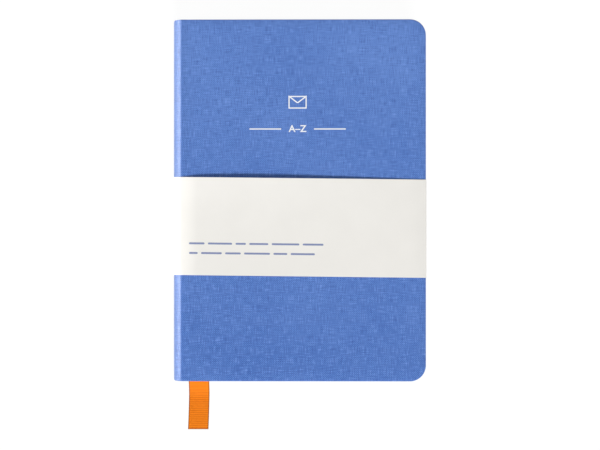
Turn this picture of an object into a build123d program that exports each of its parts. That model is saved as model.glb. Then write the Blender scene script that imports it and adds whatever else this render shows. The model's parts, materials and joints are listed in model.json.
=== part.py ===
from build123d import *
import math
import os

# A cloth-covered address book with a rounded spine, closed and lying on its back cover.
# Millimetres. +X runs from the spine to the fore-edge, +Y from the tail to the head and +Z from the
# back cover to the front cover. The origin is on the table, under the middle of the closed book.

# The case: two boards and a curved spine card, covered in one piece of linen cloth
cover_height = 210.0
book_width = 146.8
spine_bulge = 4.8
cover_corner_radius = 9.3
cover_edge_radius = 0.5
board_thickness = 1.5
cloth_thickness = 0.35
turn_in_width = 14.0
joint_gap = 1.2
card_thickness = 0.8
card_edge_gap = 1.6
spine_turn_in = 8.0

# The sewn block: thirteen folded sections with stepped index tabs, two letters to a section
letter_pairs = ["ab", "cd", "ef", "gh", "ij", "kl", "mn", "op", "qr", "st", "uv", "wx", "yz"]
front_section_count = 7
section_thickness = 0.8
endpaper_thickness = 0.15
square = 3.0
tab_depth = 7.0
tab_corner_radius = 2.0
gutter_inset = 1.6
gutter_taper = 6.0
gutter_tip = 0.12
gutter_gap = 0.15
flyleaf_gutter_gap = 1.0

# What holds the block's back together
lining_thickness = 0.3
lining_end_gap = 8.0
lining_flap_width = 20.0
hollow_gap = 0.25
thread_diameter = 0.5
thread_sides = 6
stitch_rows = 6
stitch_pitch = 34.0
band_bead_diameter = 1.6
band_bead_sides = 12
band_strip_height = 4.5
band_strip_thickness = 0.3

# The ribbon marker
ribbon_width = 12.4
ribbon_thickness = 0.3
ribbon_spine_offset = 7.0
ribbon_tail_length = 31.0
ribbon_drop_run = 14.0
ribbon_floor_gap = 0.05
ribbon_root_length = 22.0
ribbon_root_inset = 4.0
ribbon_head_gap = 5.0

# The paper wrap band, tucked over both fore-edges
wrap_thickness = 0.25
wrap_height = 56.9
wrap_middle_y = -15.65
wrap_flap_length = 60.0
wrap_fold_gap = 0.5
wrap_fold_radius = 0.55

# Clearances: between sheets that slide past each other, and along glued edges
slip = 0.05
glue_line = 0.03

# Levels, from the table up
cover_thickness = cloth_thickness + board_thickness + cloth_thickness
flap_room = wrap_thickness + 2 * slip
ribbon_room = ribbon_thickness + 2 * slip
section_count = len(letter_pairs)
back_face = wrap_thickness + slip
back_inner = back_face + cover_thickness + endpaper_thickness
back_flyleaf_base = back_inner + flap_room
block_base = back_flyleaf_base + endpaper_thickness + slip


def section_base(index):
    """Height of the lower face of a section, counted from the front of the book."""
    below = section_count - 1 - index
    height = block_base + below * (section_thickness + slip)
    if index < front_section_count:
        height += ribbon_room - slip
    return height


front_flyleaf_base = section_base(0) + section_thickness + slip
front_inner = front_flyleaf_base + endpaper_thickness + flap_room
front_board_base = front_inner + endpaper_thickness + cloth_thickness
front_face = front_board_base + board_thickness + cloth_thickness
middle = (back_face + front_face) / 2
middle_plane = Plane.XY.offset(middle)

# Places along X and Y
fore_edge = book_width / 2
joint_x = spine_bulge - book_width / 2
board_x = joint_x + joint_gap
gutter_x = joint_x + gutter_inset
leaf_head = cover_height / 2 - square
leaf_fore_edge = fore_edge - square
leaf_corner_radius = cover_corner_radius - square
tab_pitch = 2 * leaf_head / section_count

# The rounded spine: every layer is an arc about one axis, from the cloth inwards
half_case = (front_face - back_face) / 2
spine_radius = (half_case**2 + spine_bulge**2) / (2 * spine_bulge)
arc_x = spine_radius - book_width / 2
card_outer = spine_radius - cloth_thickness - glue_line
card_inner = card_outer - card_thickness
card_span = 2 * (half_case - card_edge_gap)
turn_in_outer = card_inner - glue_line
turn_in_inner = turn_in_outer - cloth_thickness
lining_outer = card_inner - hollow_gap
lining_inner = lining_outer - lining_thickness
thread_path = lining_inner - slip - thread_diameter / 2
fold_radius = thread_path - thread_diameter / 2 - slip
block_span = front_flyleaf_base - block_base
spine_axis = Axis((arc_x, 0, middle), (0, 1, 0))


def rounded_panel(sketch, left, inset):
    """Draw a cover-shaped panel from left to the fore-edge, in by inset on its three free sides."""
    with Locations((left, 0)):
        Rectangle(fore_edge - inset - left, cover_height - 2 * inset, align=(Align.MIN, Align.CENTER))
    fillet(sketch.vertices().group_by(Axis.X)[-1], radius=cover_corner_radius - inset)


def arc_strip(outer, inner, span, right):
    """Draw the part of a ring about the spine's axis that lies left of right, within a height of span."""
    with Locations((arc_x, middle)):
        Circle(outer)
        Circle(inner, mode=Mode.SUBTRACT)
    with Locations((right, middle)):
        Rectangle(2 * outer, span, align=(Align.MAX, Align.CENTER), mode=Mode.INTERSECT)


def arc_start_plane(radius, span):
    """The plane through the spine's axis where an arc of that radius and height begins, below the middle."""
    half_angle = math.asin(span / 2 / radius)
    outward = Vector(-math.cos(half_angle), 0, -math.sin(half_angle))
    return Plane(spine_axis.position, x_dir=outward, z_dir=outward.cross(Vector(0, 1, 0)))


def arc_degrees(radius, span):
    """How far an arc of that radius and height turns about the spine's axis."""
    return 2 * math.degrees(math.asin(span / 2 / radius))


def finish(builder, name):
    """Label a finished piece and write it."""
    builder.part.label = name
    export_step(builder.part, f"parts/{name}.step")


os.makedirs("parts", exist_ok=True)

# Boards
with BuildPart() as front_board:
    with BuildSketch(Plane.XY.offset(front_board_base)) as outline:
        rounded_panel(outline, board_x, cloth_thickness + glue_line)
    extrude(amount=board_thickness)
finish(front_board, "front_board")

with BuildPart() as back_board:
    mirror(front_board.part, about=middle_plane)
finish(back_board, "back_board")

# Cover cloth: one skin over the board, turned in over its three free edges
with BuildPart() as front_cover_cloth:
    with BuildSketch(Plane.XY.offset(front_face - cover_thickness)) as outline:
        rounded_panel(outline, joint_x, 0)
    extrude(amount=cover_thickness)
    rims = front_cover_cloth.faces().filter_by(Axis.Z).edges()
    fillet(rims.filter_by(lambda edge: edge.center().X > joint_x + slip), radius=cover_edge_radius)
    with BuildSketch(Plane.XY.offset(front_board_base)) as pocket:
        rounded_panel(pocket, joint_x, cloth_thickness)
    extrude(amount=board_thickness, mode=Mode.SUBTRACT)
    with BuildSketch(Plane.XY.offset(front_board_base)) as window:
        with Locations((joint_x, 0)):
            Rectangle(
                fore_edge - turn_in_width - joint_x,
                cover_height - 2 * turn_in_width,
                align=(Align.MIN, Align.CENTER),
            )
            Rectangle(joint_gap, cover_height, align=(Align.MIN, Align.CENTER))
    extrude(amount=-cloth_thickness, mode=Mode.SUBTRACT)
    with BuildSketch(Plane.XY.offset(front_board_base)) as joint_strip:
        with Locations((joint_x, 0)):
            Rectangle(joint_gap, cover_height, align=(Align.MIN, Align.CENTER))
    extrude(amount=board_thickness, mode=Mode.SUBTRACT)
finish(front_cover_cloth, "front_cover_cloth")

with BuildPart() as back_cover_cloth:
    mirror(front_cover_cloth.part, about=middle_plane)
finish(back_cover_cloth, "back_cover_cloth")

# Pastedowns: the glued halves of the endpapers, which dip into the window between the turn-ins
recess_left = board_x + lining_flap_width + slip
recess_width = fore_edge - turn_in_width - slip - recess_left
recess_height = cover_height - 2 * (turn_in_width + slip)

with BuildPart() as front_pastedown:
    with BuildSketch(Plane.XY.offset(front_inner)) as outline:
        rounded_panel(outline, board_x, square)
    extrude(amount=endpaper_thickness + cloth_thickness)
    with BuildSketch(Plane.XY.offset(front_inner + endpaper_thickness)) as raised:
        rounded_panel(raised, board_x, square)
        with Locations((recess_left, 0)):
            Rectangle(
                recess_width, recess_height, align=(Align.MIN, Align.CENTER), mode=Mode.SUBTRACT
            )
    extrude(amount=cloth_thickness, mode=Mode.SUBTRACT)
    with BuildSketch(Plane.XY.offset(front_inner)) as dip:
        with Locations((recess_left + endpaper_thickness, 0)):
            Rectangle(
                recess_width - 2 * endpaper_thickness,
                recess_height - 2 * endpaper_thickness,
                align=(Align.MIN, Align.CENTER),
            )
    extrude(amount=cloth_thickness, mode=Mode.SUBTRACT)
finish(front_pastedown, "front_pastedown")

with BuildPart() as back_pastedown:
    mirror(front_pastedown.part, about=middle_plane)
finish(back_pastedown, "back_pastedown")

# Flaps of the spine lining, glued to the boards under the pastedowns
with BuildPart() as front_lining_flap:
    with BuildSketch(Plane.XY.offset(front_board_base)) as outline:
        with Locations((board_x, 0)):
            Rectangle(lining_flap_width, recess_height, align=(Align.MIN, Align.CENTER))
    extrude(amount=-lining_thickness)
finish(front_lining_flap, "front_lining_flap")

with BuildPart() as back_lining_flap:
    mirror(front_lining_flap.part, about=middle_plane)
finish(back_lining_flap, "back_lining_flap")

# Spine: cloth turned in over a curved card at head and tail
with BuildPart() as spine_cloth:
    with BuildSketch(Plane.XZ):
        arc_strip(spine_radius, spine_radius - cloth_thickness, 2 * spine_radius, joint_x - slip)
    extrude(amount=cover_height / 2, both=True)
    for end in (1, -1):
        with BuildSketch(Plane.XZ.offset(end * cover_height / 2)):
            arc_strip(spine_radius, turn_in_inner, card_span, joint_x - slip)
        extrude(amount=-end * cloth_thickness)
        with BuildSketch(Plane.XZ.offset(end * cover_height / 2)):
            arc_strip(turn_in_outer, turn_in_inner, card_span, joint_x - slip)
        extrude(amount=-end * spine_turn_in)
finish(spine_cloth, "spine_cloth")

with BuildPart() as spine_card:
    with BuildSketch(Plane.XZ):
        arc_strip(card_outer, card_inner, card_span - 2 * glue_line, joint_x - slip)
    extrude(amount=cover_height / 2 - cloth_thickness - glue_line, both=True)
finish(spine_card, "spine_card")

with BuildPart() as spine_lining:
    with BuildSketch(Plane.XZ):
        arc_strip(lining_outer, lining_inner, block_span, arc_x)
    extrude(amount=leaf_head - lining_end_gap, both=True)
finish(spine_lining, "spine_lining")

# Sewn backs: the folded edge of each section, with its round fold on the spine's curve
with BuildPart() as signature_backs:
    with BuildSketch(Plane.XZ):
        for index in range(section_count):
            fold_height = section_base(index) + section_thickness / 2
            fold_path = fold_radius - section_thickness / 2
            fold_x = arc_x - math.sqrt(fold_path**2 - (fold_height - middle) ** 2)
            with Locations((fold_x, fold_height)):
                Circle(section_thickness / 2)
                Rectangle(
                    gutter_x - gutter_gap - fold_x,
                    section_thickness,
                    align=(Align.MIN, Align.CENTER),
                )
    extrude(amount=leaf_head, both=True)
finish(signature_backs, "signature_backs")

with BuildPart() as sewing_thread:
    with BuildSketch(arc_start_plane(thread_path, block_span - section_thickness)):
        with Locations((thread_path, 0)):
            with GridLocations(0, stitch_pitch, 1, stitch_rows):
                RegularPolygon(thread_diameter / 2, thread_sides)
    revolve(axis=spine_axis, revolution_arc=arc_degrees(thread_path, block_span - section_thickness))
finish(sewing_thread, "sewing_thread")

# Head and tail bands: a strip glued to the back with a round bead over the edge of the leaves
strip_inner = fold_radius + slip
bead_path = strip_inner + band_strip_thickness - band_bead_diameter / 2
with BuildPart() as head_band:
    with BuildSketch(arc_start_plane(bead_path, block_span - section_thickness)):
        with Locations((strip_inner, leaf_head + slip + band_bead_diameter / 2)):
            Rectangle(band_strip_thickness, band_strip_height, align=(Align.MIN, Align.MAX))
        with Locations((bead_path, leaf_head + slip + band_bead_diameter / 2)):
            RegularPolygon(band_bead_diameter / 2, band_bead_sides)
    revolve(axis=spine_axis, revolution_arc=arc_degrees(bead_path, block_span - section_thickness))
finish(head_band, "head_band")

with BuildPart() as tail_band:
    mirror(head_band.part, about=Plane.XZ)
finish(tail_band, "tail_band")

# Leaves of each section, thinned towards the gutter where they bend, with the fore-edge stepped below the tab
for index, letters in enumerate(letter_pairs):
    base = section_base(index)
    leaf_middle = base + section_thickness / 2
    step_y = leaf_head - (index + 1) * tab_pitch
    leaf_left = gutter_x + gutter_gap
    with BuildPart() as section:
        with BuildSketch(Plane.XZ):
            with BuildLine():
                Polyline(
                    (leaf_left, leaf_middle - gutter_tip / 2),
                    (gutter_x + gutter_taper, base),
                    (leaf_fore_edge, base),
                    (leaf_fore_edge, base + section_thickness),
                    (gutter_x + gutter_taper, base + section_thickness),
                    (leaf_left, leaf_middle + gutter_tip / 2),
                    close=True,
                )
            make_face()
        extrude(amount=leaf_head, both=True)
        with BuildSketch(Plane.XY.offset(base)) as outline:
            rounded_panel(outline, leaf_left, square)
        extrude(amount=section_thickness, mode=Mode.INTERSECT)
        if index < section_count - 1:
            with BuildSketch(Plane.XY.offset(base)) as step:
                with Locations((leaf_fore_edge, step_y)):
                    Rectangle(2 * tab_depth, 2 * cover_height, align=(Align.CENTER, Align.MAX))
            extrude(amount=section_thickness, mode=Mode.SUBTRACT)
            uprights = section.edges().filter_by(Axis.Z)
            fillet(
                uprights.filter_by_position(Axis.Y, step_y - slip, step_y + slip),
                radius=tab_corner_radius,
            )
            tail_corners = uprights.filter_by_position(Axis.Y, -leaf_head - slip, slip - leaf_head)
            fillet(tail_corners.sort_by(Axis.X)[-1], radius=leaf_corner_radius)
    finish(section, f"section_{letters}")

# Flyleaves: the free halves of the endpapers
with BuildPart() as front_flyleaf:
    with BuildSketch(Plane.XY.offset(front_flyleaf_base)) as outline:
        rounded_panel(outline, gutter_x + flyleaf_gutter_gap, square)
    extrude(amount=endpaper_thickness)
finish(front_flyleaf, "front_flyleaf")

with BuildPart() as back_flyleaf:
    mirror(front_flyleaf.part, about=middle_plane)
finish(back_flyleaf, "back_flyleaf")

# Ribbon marker: rooted between the middle sections, out at the tail and down to the table in two arcs
ribbon_x = ribbon_spine_offset - book_width / 2
ribbon_level = section_base(front_section_count - 1) - ribbon_room / 2
ribbon_end_level = ribbon_floor_gap + ribbon_thickness / 2
ribbon_bend_y = -leaf_head
ribbon_drop = ribbon_level - ribbon_end_level
bend_degrees = 2 * math.degrees(math.atan2(ribbon_drop, ribbon_drop_run))
bend_radius = ribbon_drop_run / (2 * math.sin(math.radians(bend_degrees)))
outer_bend = bend_radius + ribbon_thickness / 2
inner_bend = bend_radius - ribbon_thickness / 2
first_centre = (ribbon_bend_y, ribbon_level - bend_radius)
second_centre = (ribbon_bend_y - ribbon_drop_run, ribbon_end_level + bend_radius)
ribbon_top_y = leaf_head - ribbon_head_gap
ribbon_end_y = -cover_height / 2 - ribbon_tail_length

with BuildPart() as ribbon_marker:
    with BuildSketch(Plane.YZ.offset(ribbon_x)):
        with BuildLine():
            upper_bend = CenterArc(first_centre, outer_bend, 90, bend_degrees)
            upper_landing = CenterArc(second_centre, inner_bend, 270, bend_degrees)
            lower_bend = CenterArc(first_centre, inner_bend, 90, bend_degrees)
            lower_landing = CenterArc(second_centre, outer_bend, 270, bend_degrees)
            Polyline(
                upper_bend @ 0,
                (ribbon_top_y, ribbon_level + ribbon_thickness / 2),
                (ribbon_top_y, ribbon_level - ribbon_thickness / 2),
                lower_bend @ 0,
            )
            Polyline(
                upper_landing @ 0,
                (ribbon_end_y, ribbon_end_level + ribbon_thickness / 2),
                (ribbon_end_y, ribbon_end_level - ribbon_thickness / 2),
                lower_landing @ 0,
            )
        make_face()
    extrude(amount=ribbon_width)
    with BuildSketch(Plane.XY.offset(ribbon_level - ribbon_thickness / 2)):
        with Locations((ribbon_x, ribbon_top_y)):
            Rectangle(ribbon_root_inset, ribbon_root_length, align=(Align.MAX, Align.MAX))
    extrude(amount=ribbon_thickness)
finish(ribbon_marker, "ribbon_marker")

# Wrap band: paper over the spine and both covers, folded round the fore-edges and tucked inside the covers
wrap_plane = Plane.XZ.offset(-wrap_middle_y)
wrap_front = front_face + slip
wrap_span = 2 * (half_case + slip + wrap_thickness)
wrap_inside = front_inner - slip - wrap_thickness
wrap_outer_x = fore_edge + slip + wrap_thickness
turn_x = wrap_outer_x - wrap_fold_radius

with BuildPart() as wrap_spine:
    with BuildSketch(wrap_plane):
        arc_strip(
            spine_radius + slip + wrap_thickness, spine_radius + slip, wrap_span, joint_x - slip
        )
    extrude(amount=wrap_height / 2, both=True)
finish(wrap_spine, "wrap_spine")

with BuildPart() as wrap_front_panel:
    with BuildSketch(wrap_plane):
        with Locations((joint_x + wrap_fold_gap, wrap_front)):
            Rectangle(turn_x - joint_x - wrap_fold_gap, wrap_thickness, align=(Align.MIN, Align.MIN))
    extrude(amount=wrap_height / 2, both=True)
finish(wrap_front_panel, "wrap_front_panel")

with BuildPart() as wrap_front_turn:
    with BuildSketch(wrap_plane) as turn:
        turn_height = wrap_front + wrap_thickness - wrap_inside
        with Locations((turn_x, wrap_inside)):
            Rectangle(wrap_fold_radius, turn_height, align=(Align.MIN, Align.MIN))
        fillet(turn.vertices().group_by(Axis.X)[-1], radius=wrap_fold_radius)
        with BuildSketch(mode=Mode.SUBTRACT) as inner_turn:
            with Locations((turn_x, wrap_inside + wrap_thickness)):
                Rectangle(
                    wrap_fold_radius - wrap_thickness,
                    turn_height - 2 * wrap_thickness,
                    align=(Align.MIN, Align.MIN),
                )
            fillet(inner_turn.vertices().group_by(Axis.X)[-1], radius=wrap_fold_radius - wrap_thickness)
    extrude(amount=wrap_height / 2, both=True)
finish(wrap_front_turn, "wrap_front_turn")

with BuildPart() as wrap_front_flap:
    with BuildSketch(wrap_plane):
        with Locations((turn_x, wrap_inside)):
            Rectangle(wrap_flap_length, wrap_thickness, align=(Align.MAX, Align.MIN))
    extrude(amount=wrap_height / 2, both=True)
finish(wrap_front_flap, "wrap_front_flap")

with BuildPart() as wrap_back_panel:
    mirror(wrap_front_panel.part, about=middle_plane)
finish(wrap_back_panel, "wrap_back_panel")

with BuildPart() as wrap_back_turn:
    mirror(wrap_front_turn.part, about=middle_plane)
finish(wrap_back_turn, "wrap_back_turn")

with BuildPart() as wrap_back_flap:
    mirror(wrap_front_flap.part, about=middle_plane)
finish(wrap_back_flap, "wrap_back_flap")
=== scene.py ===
"""Looks of a cloth-bound address book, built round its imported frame.

Metres, +Z up. The closed book lies on its back cover, spine on the left, head towards +Y.
"""

import json
import logging
import math
from collections.abc import Callable, Iterable, Iterator, Sequence
from contextlib import contextmanager
from dataclasses import dataclass, field
from enum import Enum

import bmesh
import bpy
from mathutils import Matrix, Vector


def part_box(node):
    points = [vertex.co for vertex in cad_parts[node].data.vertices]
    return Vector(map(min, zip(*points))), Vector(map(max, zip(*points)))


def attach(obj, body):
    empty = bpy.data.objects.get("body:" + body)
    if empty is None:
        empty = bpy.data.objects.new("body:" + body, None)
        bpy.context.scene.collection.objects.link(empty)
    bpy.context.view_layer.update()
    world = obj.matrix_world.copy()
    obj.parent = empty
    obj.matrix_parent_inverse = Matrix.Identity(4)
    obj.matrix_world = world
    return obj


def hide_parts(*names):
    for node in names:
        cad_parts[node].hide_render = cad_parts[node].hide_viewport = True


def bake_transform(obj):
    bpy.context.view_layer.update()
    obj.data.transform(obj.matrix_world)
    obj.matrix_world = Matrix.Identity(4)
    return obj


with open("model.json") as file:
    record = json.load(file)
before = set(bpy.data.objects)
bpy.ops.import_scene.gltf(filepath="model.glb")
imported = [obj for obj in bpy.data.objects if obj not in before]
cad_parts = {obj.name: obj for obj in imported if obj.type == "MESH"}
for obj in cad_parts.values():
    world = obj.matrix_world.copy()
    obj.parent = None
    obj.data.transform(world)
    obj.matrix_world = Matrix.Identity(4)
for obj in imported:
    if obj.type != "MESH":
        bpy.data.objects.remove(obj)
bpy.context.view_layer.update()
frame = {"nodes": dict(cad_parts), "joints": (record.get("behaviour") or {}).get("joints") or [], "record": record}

LOG = logging.getLogger("address_book")
MM = 0.001
NEAR = 0.01 * MM
SEAM = NEAR / 10
LETTER_STEPS = 4
UV_NAME = "UVMap"
WHITE = (1.0, 1.0, 1.0, 1.0)

Piece = bpy.types.Object
Material = bpy.types.Material
Colour = tuple[float, float, float]
Span = tuple[float, float]
Place = Sequence[float]
Points = Sequence[Vector]
Test = Callable[[Points], bool]


class Kind(Enum):
    """What a pick selects in edit mode."""

    POINT = "VERT"
    EDGE = "EDGE"
    FACE = "FACE"


class Axis(Enum):
    """The axis that a cut is square to."""

    X = 0
    Y = 1
    Z = 2


class Side(Enum):
    """One of the two covers, with everything that belongs to it."""

    FRONT = "front"
    BACK = "back"


def is_level(edge: Points) -> bool:
    """Whether an edge's two ends are at one height."""
    return abs(edge[0].z - edge[1].z) < NEAR


def clamp(amount: float) -> float:
    """An amount kept between 0 and 1."""
    return min(max(amount, 0.0), 1.0)


class Bench:
    """Modelling tools that work on one piece at a time."""

    @staticmethod
    def clear() -> None:
        """Leave edit mode with nothing selected."""
        if bpy.context.mode != "OBJECT":
            bpy.ops.object.mode_set(mode="OBJECT")
        bpy.ops.object.select_all(action="DESELECT")

    @classmethod
    def take(cls, piece: Piece) -> None:
        """Make one piece the only selected object, and the active one.

        Args:
            piece: The piece.
        """
        cls.clear()
        piece.select_set(True)
        bpy.context.view_layer.objects.active = piece

    @classmethod
    def settle(cls, name: str) -> Piece:
        """Name the active object and put its place into its mesh.

        Args:
            name: The piece's name.

        Returns:
            The piece, at the origin, unturned and unscaled.
        """
        piece = bpy.context.object
        piece.name = name
        piece.data.name = name
        bpy.ops.object.transform_apply(location=True, rotation=True, scale=True)
        return piece

    @classmethod
    def plate(cls, name: str, low: Place, high: Place) -> Piece:
        """Add a cube that fills a box.

        Args:
            name: The piece's name.
            low: The box's lowest corner.
            high: The box's highest corner.

        Returns:
            The new piece.
        """
        cls.clear()
        low, high = Vector(low), Vector(high)
        bpy.ops.mesh.primitive_cube_add(size=1.0, location=(low + high) / 2, scale=high - low)
        return cls.settle(name)

    @classmethod
    def flat(cls, name: str, low: Place, high: Place) -> Piece:
        """Add a level plane between two corners.

        Args:
            name: The piece's name.
            low: The corner with the lowest X and Y, and the level.
            high: The corner with the highest X and Y.

        Returns:
            The new piece.
        """
        cls.clear()
        middle = ((low[0] + high[0]) / 2, (low[1] + high[1]) / 2, low[2])
        size = (high[0] - low[0], high[1] - low[1], 1.0)
        bpy.ops.mesh.primitive_plane_add(size=1.0, location=middle)
        bpy.context.object.scale = size
        return cls.settle(name)

    @classmethod
    @contextmanager
    def shaping(cls, piece: Piece) -> Iterator[None]:
        """Edit mode on one piece, from nothing selected.

        Args:
            piece: The piece to shape.

        Returns:
            A context in which edit-mode operators work on the piece.
        """
        cls.take(piece)
        bpy.ops.object.mode_set(mode="EDIT")
        bpy.ops.mesh.select_all(action="DESELECT")
        yield
        bpy.ops.object.mode_set(mode="OBJECT")

    @staticmethod
    def pick(piece: Piece, kind: Kind, test: Test) -> None:
        """Select by place, in edit mode.

        Args:
            piece: The piece in edit mode.
            kind: What to select.
            test: Whether to select something, from the places of its points.
        """
        bpy.ops.mesh.select_mode(type=kind.value)
        bpy.ops.mesh.select_all(action="DESELECT")
        mesh = bmesh.from_edit_mesh(piece.data)
        parts = {Kind.POINT: mesh.verts, Kind.EDGE: mesh.edges, Kind.FACE: mesh.faces}[kind]
        for part in parts:
            points = [part.co] if kind is Kind.POINT else [point.co for point in part.verts]
            part.select_set(bool(test(points)))
        mesh.select_flush_mode()
        bmesh.update_edit_mesh(piece.data)

    @classmethod
    def cut(
        cls,
        piece: Piece,
        axis: Axis,
        places: Sequence[float],
        where: Test = lambda points: True,
    ) -> None:
        """Cut faces with planes square to an axis, in edit mode.

        Args:
            piece: The piece in edit mode.
            axis: The axis that the planes are square to.
            places: Where the planes cross that axis.
            where: Which faces to cut, from the places of their points.
        """
        normal = [float(axis.value == i) for i in range(3)]
        for place in places:
            cls.pick(piece, Kind.FACE, where)
            point = [place * n for n in normal]
            bpy.ops.mesh.bisect(plane_co=point, plane_no=normal, threshold=NEAR)

    @staticmethod
    def extrude(by: Place) -> None:
        """Extrude the selected faces by a vector."""
        bpy.ops.mesh.extrude_region_move(TRANSFORM_OT_translate={"value": by})

    @staticmethod
    def bevel(width: float, steps: int, affect: str = "EDGES") -> None:
        """Bevel the selection, in edit mode."""
        bpy.ops.mesh.bevel(offset=width, segments=steps, affect=affect, clamp_overlap=False)

    @staticmethod
    def face_out(piece: Piece) -> None:
        """Close a piece's seams and turn its faces outwards, in edit mode.

        Args:
            piece: The piece in edit mode, a closed shape.
        """
        bpy.ops.mesh.select_all(action="SELECT")
        bpy.ops.mesh.remove_doubles(threshold=SEAM)
        bpy.ops.mesh.dissolve_degenerate(threshold=SEAM)
        bpy.ops.mesh.normals_make_consistent(inside=False)
        if bmesh.from_edit_mesh(piece.data).calc_volume(signed=True) < 0:
            bpy.ops.mesh.flip_normals()

    @classmethod
    def mirrored(cls, piece: Piece, name: str, level: float) -> Piece:
        """Copy a piece upside down about a level.

        Args:
            piece: The piece to copy.
            name: The copy's name.
            level: The height of the mirror plane.

        Returns:
            The copy, with its faces pointing outwards.
        """
        twin = piece.copy()
        twin.data = piece.data.copy()
        twin.name = name
        twin.data.name = name
        bpy.context.scene.collection.objects.link(twin)
        with cls.shaping(twin):
            bpy.ops.mesh.select_all(action="SELECT")
            bpy.ops.transform.resize(value=(1, 1, -1), center_override=(0, 0, level))
            cls.face_out(twin)
        return twin

    @classmethod
    def join(cls, pieces: Sequence[Piece], name: str) -> Piece:
        """Join pieces into one.

        Args:
            pieces: The pieces to join.
            name: The joined piece's name.

        Returns:
            The joined piece.
        """
        cls.take(pieces[0])
        for piece in pieces:
            piece.select_set(True)
        bpy.ops.object.join()
        pieces[0].name = name
        pieces[0].data.name = name
        return pieces[0]

    @classmethod
    def words(
        cls, name: str, text: str, place: Place, size: float, depth: float, weight: float = 0.0
    ) -> Piece:
        """Set a short text as a thin mesh.

        Args:
            name: The piece's name.
            text: The text.
            place: The text's middle.
            size: The letters' size.
            depth: How far the letters stand out on either side of their level.
            weight: How much their strokes are thickened on either side.

        Returns:
            The letters.
        """
        cls.clear()
        bpy.ops.object.text_add(location=place)
        letters = bpy.context.object.data
        letters.body = text
        letters.size = size
        letters.align_x = "CENTER"
        letters.align_y = "CENTER"
        letters.extrude = depth
        letters.offset = weight
        letters.resolution_u = LETTER_STEPS
        bpy.ops.object.convert(target="MESH")
        piece = cls.settle(name)
        with cls.shaping(piece):
            cls.face_out(piece)
        return piece

    @classmethod
    def smooth(cls, piece: Piece, degrees: float = 35.0) -> None:
        """Shade smooth, with edges sharper than an angle kept crisp."""
        cls.take(piece)
        bpy.ops.object.shade_smooth_by_angle(angle=math.radians(degrees))

    @staticmethod
    def lay_uv(piece: Piece, flatten: Callable[[Vector], Span]) -> None:
        """Give a piece a UV map in metres.

        Args:
            piece: The piece.
            flatten: Where a point lies on the flat cloth or sheet.
        """
        mesh = piece.data
        layer = mesh.uv_layers.get(UV_NAME) or mesh.uv_layers.new(name=UV_NAME)
        places = [flatten(point.co) for point in mesh.vertices]
        for loop in mesh.loops:
            layer.data[loop.index].uv = places[loop.vertex_index]

    @classmethod
    def apply(cls, piece: Piece, kind: str, **settings: object) -> None:
        """Add a modifier and apply it.

        Args:
            piece: The piece.
            kind: The modifier's type.
            settings: The modifier's settings.
        """
        cls.take(piece)
        modifier = piece.modifiers.new(kind.lower(), kind)
        for name, value in settings.items():
            setattr(modifier, name, value)
        bpy.ops.object.modifier_apply(modifier=modifier.name)


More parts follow.
